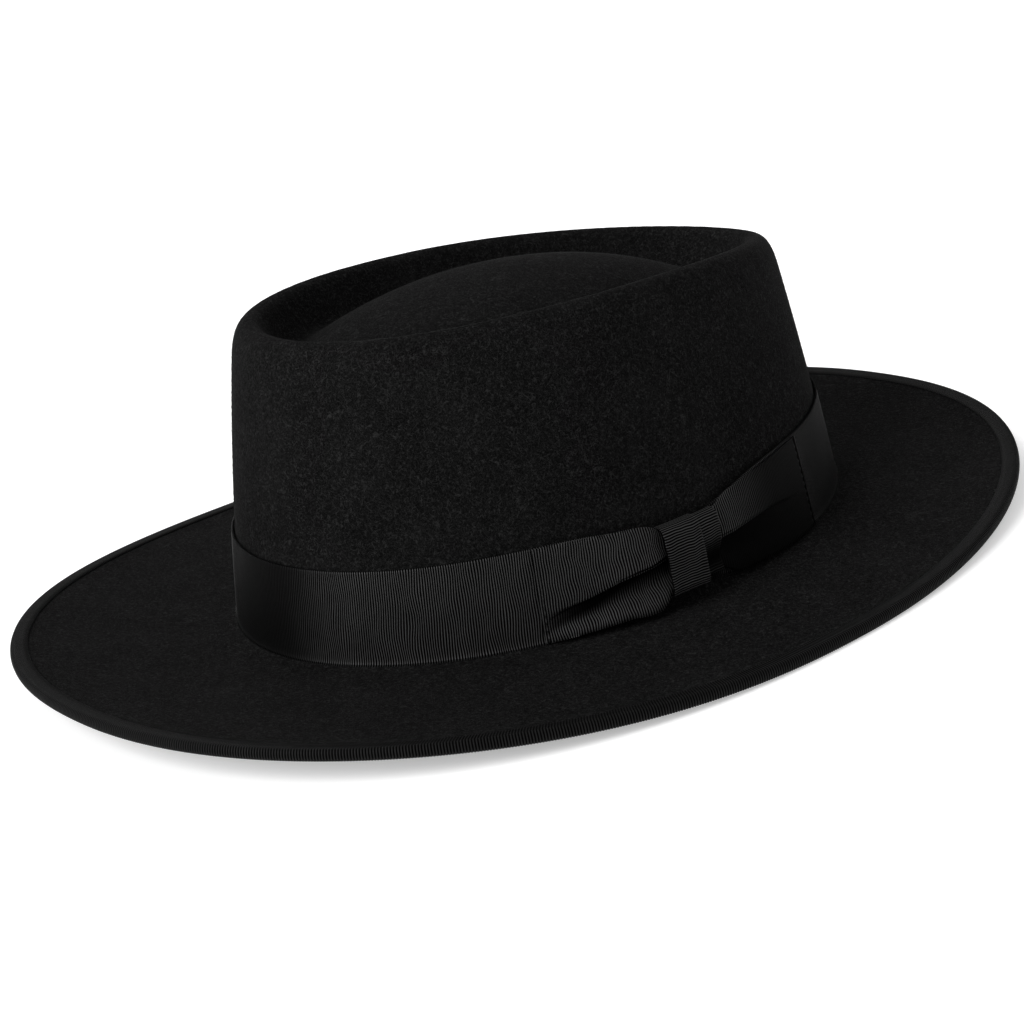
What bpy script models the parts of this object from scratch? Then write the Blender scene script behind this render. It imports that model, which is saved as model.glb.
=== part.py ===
"""A felt hat with a telescoped crown, a ribbon band with a flat bow, and a ribbon-bound brim.

Metres, +Z up. The hat's front is towards -Y and the bow is on the wearer's left, towards +X.
The origin is on the surface that the hat rests on, under the middle of the brim.
"""

import math

import bmesh
import bpy
import numpy as np

MM = 0.001

# Felt and ribbon
FELT = 2.0 * MM
RIBBON = 1.0 * MM
CLEARANCE = 0.3 * MM

# Crown, on the outside of the felt. Heights are above the break, where crown and brim meet.
CROWN_LENGTH = 205.2 * MM
CROWN_WIDTH = 170.6 * MM
CROWN_SET_BACK = 3.4 * MM
CROWN_FRONT = 90.3 * MM
CROWN_BACK = 74.4 * MM
CROWN_SIDE = 86.8 * MM
TIP_LENGTH = 186.6 * MM
TIP_WIDTH = 126.4 * MM
TIP_SET_BACK = 6.9 * MM
TIP_SQUARENESS = 2.09
TIP_TAPER = 0.16
WALL_BARREL = 0.3
BREAK_RADIUS = 2.5 * MM
SHOULDER = 9.0 * MM
RIM_RADIUS = 4.5 * MM

# Telescoped top: a trough inside the rim, and a dome that rises again in its middle
TROUGH_INSET = 14.5 * MM
TROUGH_DEPTH = 15.0 * MM
TROUGH_RADIUS = 3.0 * MM
DOME_RISE = 6.4 * MM

# Brim. Heights are those of the middle of its edge, above the lowest part of that edge.
BRIM_LENGTH = 335.3 * MM
BRIM_WIDTH = 279.3 * MM
BRIM_SQUARENESS = 2.16
BRIM_TAPER = 0.05
BRIM_FRONT_RISE = 8.2 * MM
BRIM_BACK_RISE = 8.0 * MM
BRIM_DIAGONAL_RISE = 5.4 * MM
BREAK_RISE = 2.9 * MM
BREAK_PITCH_DEGREES = 1.5
CURL_FRONT_DEGREES = 12
CURL_SIDE_DEGREES = 8
CURL_BACK_DEGREES = 15
EDGE_FLATTENED = 0.5 * MM

# Ribbon bound round the brim's edge
BINDING_WIDTH = 4.5 * MM
BINDING_NOSE = 1.3 * MM
BINDING_FLAT = 2.0 * MM

# Ribbon band, and the bow sewn on it. Places along the band run backwards from the wearer's left side.
BAND_HEIGHT = 26.8 * MM
BAND_FOOT = 0.9 * MM
BAND_FLARE_CLEARANCE = 0.42 * MM
KNOT_PLACE = -15.8 * MM
KNOT_WIDTH = 12.2 * MM
KNOT_HEIGHT = 19.5 * MM
KNOT_PROUD = 5.0 * MM
WRAP_WIDTH = 7.6 * MM
WRAP_HEIGHT = 18.5 * MM
WRAP_PROUD = 3.4 * MM
STRAP_ROUND = 2.2 * MM
STRAP_SWELL = 0.2 * MM
FRONT_WING_LENGTH = 37.8 * MM
BACK_WING_LENGTH = 47.0 * MM
WING_PROUD = 5.2 * MM
WING_TUCK = 3.2 * MM
WING_CLEARANCE = 0.45 * MM

# How finely the shapes are cut
AROUND = 64
WING_STEPS = 14
WING_LEVELS = 10

# The brim inside its binding, as shares of the way from the break to the edge
BRIM_SHARES = (0.8, 0.66, 0.5, 0.34, 0.17, 0.0)
# The crown's wall, as shares of the way from the break's rounding to the rim's
WALL_SHARES = (0.0, 0.27, 0.52, 0.77)
# The dome, as shares of the way from the trough to its middle
DOME_SHARES = (0.84, 0.64, 0.42, 0.2)
# Cuts across a rounded corner, as shares of the way round it, and round the rim's inner side, in degrees
CORNER_SHARES = (0.35, 0.7)
RIM_DEGREES = (90, 130, 168)
# How much of a fold's width its rounded edge takes up
FOLD_ROUND = 0.2

# Folds of the front wing, from its sewn end to its end under the knot. Along is a share of its length,
# top, foot and crease are shares of the band's height, and the rest are shares of how far it stands proud:
# at the fold over the crease, at its upper edge, in the valley under the fold, and at its foot.
FRONT_WING_FOLDS = {
    "along": (0.0, 0.12, 0.34, 0.58, 0.84, 0.93, 1.0),
    "top": (1.0, 1.0, 0.99, 0.96, 0.91, 0.84, 0.82),
    "foot": (0.02, 0.03, 0.05, 0.07, 0.09, 0.18, 0.22),
    "crease": (0.2, 0.26, 0.32, 0.43, 0.51, 0.52, 0.52),
    "fold": (0.0, 0.12, 0.32, 0.62, 0.78, 0.56, 0.44),
    "edge": (0.0, 0.03, 0.1, 0.24, 0.38, 0.3, 0.22),
    "valley": (0.0, 0.0, 0.0, 0.02, 0.05, 0.04, 0.02),
    "lip": (0.0, 0.2, 0.42, 0.62, 0.72, 0.5, 0.4),
}
# Folds of the back wing, whose upper panel runs out in a ridge and whose lower part lies back
BACK_WING_FOLDS = {
    "along": (0.0, 0.2, 0.45, 0.7, 0.84, 0.93, 1.0),
    "top": (1.0, 1.0, 0.98, 0.95, 0.9, 0.82, 0.8),
    "foot": (0.02, 0.02, 0.03, 0.05, 0.08, 0.18, 0.22),
    "crease": (0.42, 0.44, 0.48, 0.48, 0.47, 0.46, 0.46),
    "fold": (0.0, 0.05, 0.18, 0.38, 0.42, 0.3, 0.22),
    "edge": (0.0, 0.03, 0.1, 0.16, 0.18, 0.12, 0.1),
    "valley": (0.0, 0.03, 0.04, 0.03, 0.02, 0.0, 0.0),
    "lip": (0.0, 0.04, 0.08, 0.12, 0.12, 0.08, 0.06),
}


def around(front, side, back, diagonal=None):
    """A value at each step round the hat, from its values at the front, the sides, the back and between."""
    turn = turns()
    mean = (front + back + 2 * side) / 4
    middle = mean if diagonal is None else (mean + diagonal) / 2
    return (
        middle
        + (back - front) / 2 * np.sin(turn)
        + (side - mean) * np.cos(2 * turn)
        + (mean - middle) * np.cos(4 * turn)
    )


def turns():
    """The steps round the hat: 0 at the wearer's left, a quarter turn at the back."""
    return np.arange(AROUND) * 2 * math.pi / AROUND


def oval(length, width, turn, squareness=2.0, taper=0.0):
    """Points of a superellipse whose width tapers towards the back, as rows of x and y."""
    cos, sin = np.cos(turn), np.sin(turn)
    x = width / 2 * np.sign(cos) * np.abs(cos) ** (2 / squareness) * (1 - taper * sin)
    y = length / 2 * np.sign(sin) * np.abs(sin) ** (2 / squareness)
    return np.stack([x, y], axis=-1)


def crown_base(turn):
    return oval(CROWN_LENGTH, CROWN_WIDTH, turn) + (0, CROWN_SET_BACK)


def crown_normal(turn):
    """The level direction out of the crown."""
    out = np.stack([np.cos(turn) / CROWN_WIDTH, np.sin(turn) / CROWN_LENGTH], axis=-1)
    return out / np.linalg.norm(out, axis=-1, keepdims=True)


def tip_outline(turn):
    """Where the crown's wall and top would meet if their corner were sharp."""
    corner = oval(TIP_LENGTH, TIP_WIDTH, turn, TIP_SQUARENESS, TIP_TAPER)
    return corner + (0, CROWN_SET_BACK + TIP_SET_BACK)


def crown_height(turn):
    mean = (CROWN_FRONT + CROWN_BACK + 2 * CROWN_SIDE) / 4
    return mean + (CROWN_BACK - CROWN_FRONT) / 2 * np.sin(turn) + (CROWN_SIDE - mean) * np.cos(2 * turn)


def raised(flat, height):
    """Points of x and y, at heights above the break's plane, which is pitched down to the front."""
    level = BREAK_RISE + math.tan(math.radians(BREAK_PITCH_DEGREES)) * (flat[..., 1] - CROWN_SET_BACK)
    return np.concatenate([flat, (level + height)[..., None]], axis=-1)


def break_flare(height):
    """How far the rounding at the break stands out of the crown's wall at a height above the break."""
    left = 1 - np.sqrt(np.clip(height / BREAK_RADIUS, 0, 1))
    return BREAK_RADIUS * left**2


def on_crown(turn, height, proud):
    """Points over the crown's wall at a height above the break, standing proud of its felt."""
    share = (height / crown_height(turn))[..., None]
    share = share - WALL_BARREL * share * (1 - share)
    flat = crown_base(turn) * (1 - share) + tip_outline(turn) * share
    return raised(flat + crown_normal(turn) * proud[..., None], height)


def brim_outline():
    return oval(BRIM_LENGTH, BRIM_WIDTH, turns(), BRIM_SQUARENESS, BRIM_TAPER)


def brim_normal():
    """The level direction out of the brim's edge."""
    outline = brim_outline()
    tangent = np.roll(outline, -1, axis=0) - np.roll(outline, 1, axis=0)
    out = np.stack([tangent[:, 1], -tangent[:, 0]], axis=-1)
    return out / np.linalg.norm(out, axis=-1, keepdims=True)


def edge_curl():
    """The angle at which the brim turns up at its edge."""
    return np.radians(around(CURL_FRONT_DEGREES, CURL_SIDE_DEGREES, CURL_BACK_DEGREES))


def brim_ends():
    """The brim's upper side at the break and at the felt's edge, and the level run between them."""
    turn, curl = turns(), edge_curl()
    foot = raised(crown_base(turn) + crown_normal(turn) * BREAK_RADIUS, np.zeros(AROUND))
    inset = BINDING_NOSE + FELT / 2 * np.sin(curl)
    rise = around(BRIM_FRONT_RISE, 0.0, BRIM_BACK_RISE, BRIM_DIAGONAL_RISE) + FELT / 2 * np.cos(curl)
    edge = np.concatenate([brim_outline() - brim_normal() * inset[:, None], rise[:, None]], axis=-1)
    return foot, edge, np.linalg.norm(edge[:, :2] - foot[:, :2], axis=-1)


def brim_ring(share):
    """A line of the brim's upper side, at a share of the way from the break to the edge."""
    foot, edge, run = brim_ends()
    share = share * np.ones(AROUND)
    ring = foot * (1 - share)[:, None] + edge * share[:, None]
    ease = share * share * (3 - 2 * share)
    late = share**3 - share**2
    ring[:, 2] = foot[:, 2] * (1 - ease) + edge[:, 2] * ease + run * np.tan(edge_curl()) * late
    return ring


def under_binding():
    """The share of the way to the edge at which the binding's inner end lies."""
    _, _, run = brim_ends()
    return 1 - BINDING_WIDTH / run


def bend(start, corner, end):
    """Lines that round a corner between two lines."""
    return [(1 - s) ** 2 * start + 2 * s * (1 - s) * corner + s**2 * end for s in CORNER_SHARES]


def break_rings():
    """The rounding between the brim and the crown's wall."""
    turn = turns()
    foot = brim_ring(0.0)
    corner = raised(crown_base(turn), np.zeros(AROUND))
    lift = np.full(AROUND, BREAK_RADIUS)
    wall = on_crown(turn, lift, np.zeros(AROUND))
    return bend(foot, corner, wall)


def wall_rings():
    turn = turns()
    rise = crown_height(turn) - SHOULDER - BREAK_RADIUS
    return [on_crown(turn, BREAK_RADIUS + rise * share, np.zeros(AROUND)) for share in WALL_SHARES]


def rim_line(angle):
    """The line round the rolled rim at an angle above the level direction out of the crown."""
    turn = turns()
    reach = RIM_RADIUS * (1 - math.cos(angle))
    height = crown_height(turn) - RIM_RADIUS * (1 - math.sin(angle))
    return raised(tip_outline(turn) - crown_normal(turn) * reach, height)


def rim_rings():
    """The soft shoulder at the top of the wall, and the tighter roll down inside it."""
    turn = turns()
    wall = on_crown(turn, crown_height(turn) - SHOULDER, np.zeros(AROUND))
    corner = raised(tip_outline(turn), crown_height(turn))
    roll = [rim_line(math.radians(angle)) for angle in RIM_DEGREES]
    return [wall] + bend(wall, corner, roll[0]) + roll


def trough_line():
    turn = turns()
    return raised(tip_outline(turn) - crown_normal(turn) * TROUGH_INSET, crown_height(turn) - TROUGH_DEPTH)


def dome_middle():
    return raised(
        np.array([0.0, CROWN_SET_BACK + TIP_SET_BACK]),
        np.array((CROWN_FRONT + CROWN_BACK) / 2 + DOME_RISE),
    )


def dome_ring(share):
    """A line of the dome, at a share of the way out from its middle: it falls as the square of that share."""
    middle, trough = dome_middle(), trough_line()
    ring = middle * (1 - share) + trough * share
    slope = (CROWN_BACK - CROWN_FRONT) / TIP_LENGTH
    tilt = slope * (ring[:, 1] - middle[1])
    fall = trough[:, 2] - middle[2] - slope * (trough[:, 1] - middle[1])
    ring[:, 2] = middle[2] + tilt + fall * share**2
    return ring


def trough_rings():
    """The trough's rounding, between the rim's inner wall and the dome."""
    wall = rim_rings()[-1]
    corner = trough_line()
    down = corner - wall
    reach = np.linalg.norm(down, axis=-1, keepdims=True)
    start = corner - down / reach * TROUGH_RADIUS
    end = dome_ring((1 + DOME_SHARES[0]) / 2)
    return [start] + bend(start, corner, end) + [end]


def band_heights():
    """The heights above the break at which the band's section bends."""
    return np.array([BAND_FOOT, BREAK_RADIUS / 2, BREAK_RADIUS, BAND_FOOT + BAND_HEIGHT])


def band_seat():
    """How far the band's inner face stands proud of the crown's felt at each of its heights."""
    heights = band_heights()
    return break_flare(heights) + np.where(heights < BREAK_RADIUS, BAND_FLARE_CLEARANCE, CLEARANCE)


def band_face(height):
    """How far the band's outer face stands proud of the crown's felt, with its wall square to its slope."""
    heights, seat = band_heights(), band_seat()
    slope = np.abs(np.diff(seat) / np.diff(heights))
    stretch = np.sqrt(1 + np.append(slope, 0.0) ** 2)
    return np.interp(height, heights, seat + RIBBON * stretch)


def turn_at(place):
    """The turn at which a length along the crown's base, from the wearer's left side, is reached."""
    turn = np.linspace(-math.pi, math.pi, 1441)
    steps = np.linalg.norm(np.diff(crown_base(turn), axis=0), axis=-1)
    length = np.concatenate([[0.0], np.cumsum(steps)])
    length -= np.interp(0.0, turn, length)
    return np.interp(place, length, turn)


def skin(name, rows, closed_round, closed_profile=False, middle=None):
    """A mesh of four-sided faces between rows of points, with a fan to a middle point if one is given."""
    mesh = bpy.data.meshes.new(name)
    bm = bmesh.new()
    lines = [[bm.verts.new(point) for point in row] for row in rows]
    if closed_profile:
        lines.append(lines[0])
    for lower, upper in zip(lines, lines[1:]):
        pairs = list(zip(lower, upper))
        if closed_round:
            pairs.append(pairs[0])
        for (a, b), (c, d) in zip(pairs, pairs[1:]):
            bm.faces.new((a, c, d, b))
    if middle is not None:
        tip = bm.verts.new(middle)
        last = lines[-1] + [lines[-1][0]]
        for a, b in zip(last, last[1:]):
            bm.faces.new((a, b, tip))
    bm.to_mesh(mesh)
    bm.free()
    mesh.shade_smooth()
    mesh.set_sharp_from_angle(angle=math.radians(50))
    piece = bpy.data.objects.new(name, mesh)
    bpy.context.scene.collection.objects.link(piece)
    return piece


def thicken(piece, thickness, side):
    """Gives a skin its wall: side -1 is inwards and 1 is outwards."""
    wall = piece.modifiers.new("wall", "SOLIDIFY")
    wall.thickness = thickness
    wall.offset = side
    wall.use_even_offset = True
    wall.use_quality_normals = True


def finish(piece, colour, roughness, sheen):
    material = bpy.data.materials.new(piece.name)
    material.use_nodes = True
    surface = material.node_tree.nodes["Principled BSDF"]
    surface.inputs["Base Color"].default_value = (*colour, 1.0)
    surface.inputs["Roughness"].default_value = roughness
    surface.inputs["Metallic"].default_value = 0.0
    surface.inputs["Sheen Weight"].default_value = sheen
    piece.data.materials.append(material)


def black_felt(piece):
    finish(piece, (0.006, 0.006, 0.007), 0.95, 0.3)


def black_grosgrain(piece):
    finish(piece, (0.008, 0.008, 0.009), 0.6, 0.1)


def make_felt_body():
    """Crown and brim, blocked from one piece of felt and hollow for the head."""
    rows = [brim_ring(1.0), brim_ring(under_binding())]
    rows += [brim_ring(share) for share in BRIM_SHARES]
    rows += break_rings() + wall_rings() + rim_rings() + trough_rings()
    rows += [dome_ring(share) for share in DOME_SHARES]
    body = skin("felt_body", rows, True, middle=dome_middle())
    thicken(body, FELT, -1)
    black_felt(body)


def binding_rows():
    """The binding's section, carried round the felt's edge."""
    inner = FELT / 2 + CLEARANCE
    outer = inner + RIBBON
    # Each corner: 0 at its end on the brim or 1 at the felt's edge, then out from there, and up from the
    # felt's middle. The second one bounds the stretch that is flattened where the hat rests.
    section = [(0, 0.0, -outer), (0, BINDING_FLAT, -outer)]
    for angle in np.radians((-90, -45, 0, 45, 90)):
        section.append((1, BINDING_NOSE * math.cos(angle), outer * math.sin(angle)))
    section += [(0, 0.0, outer), (0, 0.0, inner), (1, CLEARANCE, inner), (1, CLEARANCE, -inner), (0, 0.0, -inner)]
    lines = brim_ring(under_binding()), brim_ring(1.0)
    rise = lines[1][:, 2] - lines[0][:, 2]
    slope = np.arctan2(rise, np.linalg.norm(lines[1][:, :2] - lines[0][:, :2], axis=-1))
    level = np.concatenate([brim_normal(), np.zeros((AROUND, 1))], axis=-1)
    upright = np.array([0.0, 0.0, 1.0])
    along = level * np.cos(slope)[:, None] + upright * np.sin(slope)[:, None]
    square = upright * np.cos(slope)[:, None] - level * np.sin(slope)[:, None]
    return np.array([lines[end] + along * out + square * (up - FELT / 2) for end, out, up in section])


def make_brim_binding():
    """A ribbon folded round the brim's edge, with its underside flattened where the hat rests."""
    rows = binding_rows()
    floor = rows[..., 2].min() + EDGE_FLATTENED
    rows[..., 2] = np.maximum(rows[..., 2], floor)
    binding = skin("brim_binding", rows, True, closed_profile=True)
    black_grosgrain(binding)
    return floor


def make_hat_band():
    """A ribbon round the foot of the crown, which flares with the rounding at the break."""
    turn, even = turns(), np.ones(AROUND)
    rows = [on_crown(turn, height * even, seat * even) for height, seat in zip(band_heights(), band_seat())]
    band = skin("hat_band", rows, True)
    thicken(band, RIBBON, 1)
    black_grosgrain(band)


def wing(name, sewn_end, knot_end, folds):
    """One half of the bow: a ribbon sewn flat at one end, and folded as it goes into the knot at the other."""
    share = np.linspace(0, 1, WING_STEPS + 1)
    column = {key: np.interp(share, folds["along"], values) for key, values in folds.items()}
    turn = turn_at(sewn_end + (knot_end - sewn_end) * share)
    rows = []
    for level in np.linspace(0, 1, WING_LEVELS + 1):
        crease = (column["crease"] - column["foot"]) / (column["top"] - column["foot"])
        above = np.clip((level - crease) / (1 - crease), 0, 1)
        below = np.clip((crease - level) / crease, 0, 1)
        rounding = np.sqrt(1 - (1 - np.minimum(above / FOLD_ROUND, 1)) ** 2)
        panel = rounding * (column["fold"] * (1 - above) + column["edge"] * above)
        lip = column["lip"] * np.sin(math.pi / 2 * below)
        proud = WING_PROUD * (column["valley"] + np.maximum(panel, lip))
        height = BAND_FOOT + BAND_HEIGHT * (column["foot"] + (column["top"] - column["foot"]) * level)
        rows.append(on_crown(turn, height, band_face(height) + WING_CLEARANCE + proud))
    if knot_end < sewn_end:
        rows = [row[::-1] for row in rows]
    piece = skin(name, rows, False)
    thicken(piece, RIBBON, 1)
    black_grosgrain(piece)


def strap(name, place, width, height, proud):
    """A ribbon wrapped over the wings' ends, turned back to the band above and below them."""
    centre = BAND_FOOT + BAND_HEIGHT / 2
    half = height / 2
    # The strap's inner line, from its middle up to its upper end: up, and out from the band
    corner = STRAP_ROUND * (1 - math.sin(math.radians(45)))
    upper = [(half - STRAP_ROUND, proud), (half - corner, proud - corner), (half, proud - STRAP_ROUND)]
    upper.append((half, RIBBON / 2))
    lower = [(-up, out) for up, out in reversed(upper)]
    line = lower + [(0.0, proud + STRAP_SWELL)] + upper
    turn = turn_at(place + width * np.linspace(-0.5, 0.5, 5))
    rows = []
    for up, out in line:
        level = np.full(len(turn), centre + up)
        rows.append(on_crown(turn, level, band_face(level) + CLEARANCE + out))
    piece = skin(name, rows, False)
    thicken(piece, RIBBON, 1)
    black_grosgrain(piece)


def make_bow():
    front_edge = KNOT_PLACE - KNOT_WIDTH / 2
    back_edge = KNOT_PLACE + KNOT_WIDTH / 2
    wrap_place = back_edge + CLEARANCE + WRAP_WIDTH / 2
    wrap_edge = wrap_place + WRAP_WIDTH / 2
    strap("bow_knot", KNOT_PLACE, KNOT_WIDTH, KNOT_HEIGHT, KNOT_PROUD)
    strap("bow_second_wrap", wrap_place, WRAP_WIDTH, WRAP_HEIGHT, WRAP_PROUD)
    wing("bow_front_wing", front_edge - FRONT_WING_LENGTH, front_edge + WING_TUCK, FRONT_WING_FOLDS)
    wing("bow_back_wing", wrap_edge + BACK_WING_LENGTH, wrap_edge - WING_TUCK, BACK_WING_FOLDS)


def main():
    for piece in list(bpy.data.objects):
        bpy.data.objects.remove(piece)
    make_felt_body()
    floor = make_brim_binding()
    make_hat_band()
    make_bow()
    for piece in bpy.data.objects:
        piece.location.z = -floor


main()
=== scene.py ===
"""A black felt hat with a telescoped crown, a ribbon band with a flat bow, and a bound brim, on a pale floor.

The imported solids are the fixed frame, and each one is replaced by a finer piece: blocked felt with its nap,
and ribbons whose ribs, folds and stitches are modelled. Metres, +Z up. The hat's front is towards -Y, and
the bow is on the wearer's left, towards +X.
"""

import math

import bpy
import numpy as np
from mathutils import Matrix, Vector

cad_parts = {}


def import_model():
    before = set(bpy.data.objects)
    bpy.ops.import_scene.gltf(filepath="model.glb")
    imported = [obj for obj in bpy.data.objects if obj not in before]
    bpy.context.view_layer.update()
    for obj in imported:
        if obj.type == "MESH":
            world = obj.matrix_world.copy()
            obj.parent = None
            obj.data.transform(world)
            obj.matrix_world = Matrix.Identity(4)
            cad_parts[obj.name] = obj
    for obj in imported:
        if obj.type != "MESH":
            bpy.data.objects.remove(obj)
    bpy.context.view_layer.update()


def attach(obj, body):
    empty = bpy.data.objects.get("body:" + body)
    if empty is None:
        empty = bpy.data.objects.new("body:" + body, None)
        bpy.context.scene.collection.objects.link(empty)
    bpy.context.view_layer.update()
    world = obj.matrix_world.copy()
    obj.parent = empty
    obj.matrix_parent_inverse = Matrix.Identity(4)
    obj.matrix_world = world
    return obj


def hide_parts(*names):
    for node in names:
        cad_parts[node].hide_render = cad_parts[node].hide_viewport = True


MM = 0.001

# Felt and ribbon
FELT = 2.0 * MM
RIBBON = 0.6 * MM
CLEARANCE = 0.3 * MM

# Crown, on the outside of the felt. Heights are above the break, where crown and brim meet.
CROWN_LENGTH = 205.2 * MM
CROWN_WIDTH = 170.6 * MM
CROWN_SET_BACK = 3.4 * MM
CROWN_FRONT = 90.3 * MM
CROWN_BACK = 74.4 * MM
CROWN_SIDE = 86.8 * MM
TIP_LENGTH = 186.6 * MM
TIP_WIDTH = 126.4 * MM
TIP_SET_BACK = 6.9 * MM
TIP_SQUARENESS = 2.09
TIP_TAPER = 0.16
WALL_BARREL = 0.3
BREAK_RADIUS = 2.5 * MM
BREAK_HEIGHT = 5.3 * MM
BREAK_PITCH = math.radians(1.5)
SHOULDER = 9.0 * MM
RIM_RADIUS = 4.5 * MM
TROUGH_INSET = 14.5 * MM
TROUGH_DEPTH = 15.0 * MM
TROUGH_RADIUS = 3.0 * MM
DOME_RISE = 6.4 * MM

# Brim. Heights are those of the felt's middle at its edge, above the floor.
BRIM_LENGTH = 335.3 * MM
BRIM_WIDTH = 279.3 * MM
BRIM_SQUARENESS = 2.16
BRIM_TAPER = 0.05
BRIM_SIDE_HEIGHT = 2.4 * MM
BRIM_FRONT_RISE = 8.2 * MM
BRIM_BACK_RISE = 8.0 * MM
BRIM_DIAGONAL_RISE = 5.4 * MM
EDGE_CURL_FRONT = math.radians(12)
EDGE_CURL_SIDE = math.radians(8)
EDGE_CURL_BACK = math.radians(15)
FELT_INSET = 1.3 * MM

# Ribbon bound round the brim's edge
BINDING_WIDTH = 4.1 * MM
BINDING_OVER = 1.5 * MM
BINDING_UNDER = 2.1 * MM
BINDING_UNDER_WHERE_IT_RESTS = 2.3 * MM
BINDING_SEAT = 0.05 * MM
BINDING_SLACK = 0.1 * MM

# Ribbon band, and the bow sewn on it. Places along the band run backwards from the wearer's left side.
# The pinch narrows the band behind the bow, and the dip sinks the second wrap's lower part, where it also
# flattens the ribs and paints the finish dark as painted shade. The solids have neither. Levels are shares of
# the band's height at which its mesh is cut.
BAND_HEIGHT = 26.8 * MM
BAND_FOOT = 0.9 * MM
BAND_LEVELS = (0.0, 0.015, 0.04, 0.08, 0.16, 0.28, 0.4, 0.52, 0.64, 0.76, 0.88, 0.985, 1.0)
PINCH_PLACE = -11.0 * MM
PINCH_REACH = 24.0 * MM
PINCH_TOP = 5.4 * MM
PINCH_FOOT = 2.8 * MM
KNOT_PLACE = -15.8 * MM
KNOT_WIDTH = 12.2 * MM
KNOT_HEIGHT = 19.5 * MM
KNOT_PROUD = 5.0 * MM
WRAP_WIDTH = 7.6 * MM
WRAP_HEIGHT = 18.5 * MM
WRAP_PROUD = 3.4 * MM
WRAP_SLANT = 0.05
WRAP_DIP_AND_SHADE = 3.0 * MM
WRAP_DIP_PLACE = -0.26
WRAP_DIP_REACH = 0.25
STRAP_ROUND = 2.2 * MM
FRONT_WING_LENGTH = 37.8 * MM
BACK_WING_LENGTH = 47.0 * MM
WING_PROUD = 5.2 * MM
WING_TUCK = 3.2 * MM

# Grosgrain ribs. Cuts are the shares of a rib at which it is cut, close together in the groove beside it.
RIB_PITCH = 0.74 * MM
BINDING_RIB_PITCH = 0.8 * MM
RIB_HEIGHT = 0.32 * MM
BINDING_RIB_HEIGHT = RIB_HEIGHT * 0.7
RIB_FULLNESS = 0.7
RIB_CUTS = (0.0, 0.13, 0.32, 0.5, 0.68, 0.87)
BINDING_RIB_CUTS = (0.0, 0.2, 0.5, 0.8)
RIB_WANDER = 0.24 * MM
SWAY_SHORTEST = 3.5 * MM
SWAY_LONGEST = 14.0 * MM
RIB_SCALLOP = 0.25 * MM
# Stretches of the band that are given flat ribs, as the photograph shows none there, and one behind the knot.
# In all three the finish is painted dark along with the lost relief, which is painted shade. Columns: place,
# reach and how much of the ribs' relief is lost
BAND_FLAT_AND_SHADED = ((-156.0 * MM, 29.0 * MM, 0.9), (-12.0 * MM, 12.0 * MM, 1.0), (76.0 * MM, 30.0 * MM, 0.8))

# Folds of the front wing, from its sewn end to its end under the knot. Along is a share of its length, and
# top, foot and crease are shares of the band's height. Fold, edge, valley and lip are shares of how far it
# stands proud: over the crease, at its upper edge, under the fold and at its foot. The last three are shares
# of the ribs' relief, above and below the crease, and of its loss in the pocket under the fold. Where relief
# is lost the finish is painted dark as well, so the pocket's darkness is partly real shadow under the fold
# and partly painted shade.
FRONT_WING_FOLDS = {
    "along": (0.0, 0.12, 0.34, 0.58, 0.84, 0.93, 1.0),
    "top": (1.0, 1.0, 0.99, 0.96, 0.91, 0.84, 0.82),
    "foot": (0.02, 0.03, 0.05, 0.07, 0.09, 0.18, 0.22),
    "crease": (0.2, 0.26, 0.32, 0.43, 0.51, 0.52, 0.52),
    "fold": (0.0, 0.12, 0.32, 0.62, 0.78, 0.56, 0.44),
    "edge": (0.0, 0.03, 0.1, 0.24, 0.38, 0.3, 0.22),
    "valley": (0.0, 0.0, 0.0, 0.02, 0.05, 0.04, 0.02),
    "lip": (0.0, 0.2, 0.42, 0.62, 0.72, 0.5, 0.4),
    "upper_ribs_and_shade": (1.0, 1.0, 1.0, 1.0, 1.0, 1.0, 1.0),
    "lower_ribs_and_shade": (1.0, 1.0, 1.0, 1.0, 1.0, 1.0, 1.0),
    "pocket_shade": (0.0, 0.6, 1.0, 1.0, 1.0, 1.0, 1.0),
}
# Folds of the back wing, whose upper panel runs out in a ridge and whose lower part lies back. Its low shares
# of rib relief near the sewn end and below the crease flatten the ribs and paint the finish dark, which is
# painted shade.
BACK_WING_FOLDS = {
    "along": (0.0, 0.2, 0.45, 0.7, 0.84, 0.93, 1.0),
    "top": (1.0, 1.0, 0.98, 0.95, 0.9, 0.82, 0.8),
    "foot": (0.02, 0.02, 0.03, 0.05, 0.08, 0.18, 0.22),
    "crease": (0.42, 0.44, 0.48, 0.48, 0.47, 0.46, 0.46),
    "fold": (0.0, 0.05, 0.18, 0.38, 0.42, 0.3, 0.22),
    "edge": (0.0, 0.03, 0.1, 0.16, 0.18, 0.12, 0.1),
    "valley": (0.0, 0.03, 0.04, 0.03, 0.02, 0.0, 0.0),
    "lip": (0.0, 0.04, 0.08, 0.12, 0.12, 0.08, 0.06),
    "upper_ribs_and_shade": (0.08, 0.08, 0.2, 0.7, 1.0, 1.0, 1.0),
    "lower_ribs_and_shade": (0.08, 0.06, 0.05, 0.05, 0.08, 0.1, 0.1),
    "pocket_shade": (0.0, 0.0, 0.6, 1.0, 1.0, 1.0, 1.0),
}
# What both wings' folds share: how soon they round over, how far they hang over and cut in behind, how much
# of the parts below and above the crease is pocket, where the ribs flatten and the finish is painted dark as
# shade, and where the lower part starts and ends its rise
FOLD_ROUND = 0.24
FOLD_OVERHANG = 2.6 * MM
FOLD_POCKET = 5.5 * MM
POCKET_BELOW = 0.55
POCKET_ABOVE = 0.5
LIP_START = 0.42
LIP_END = 0.9

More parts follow.
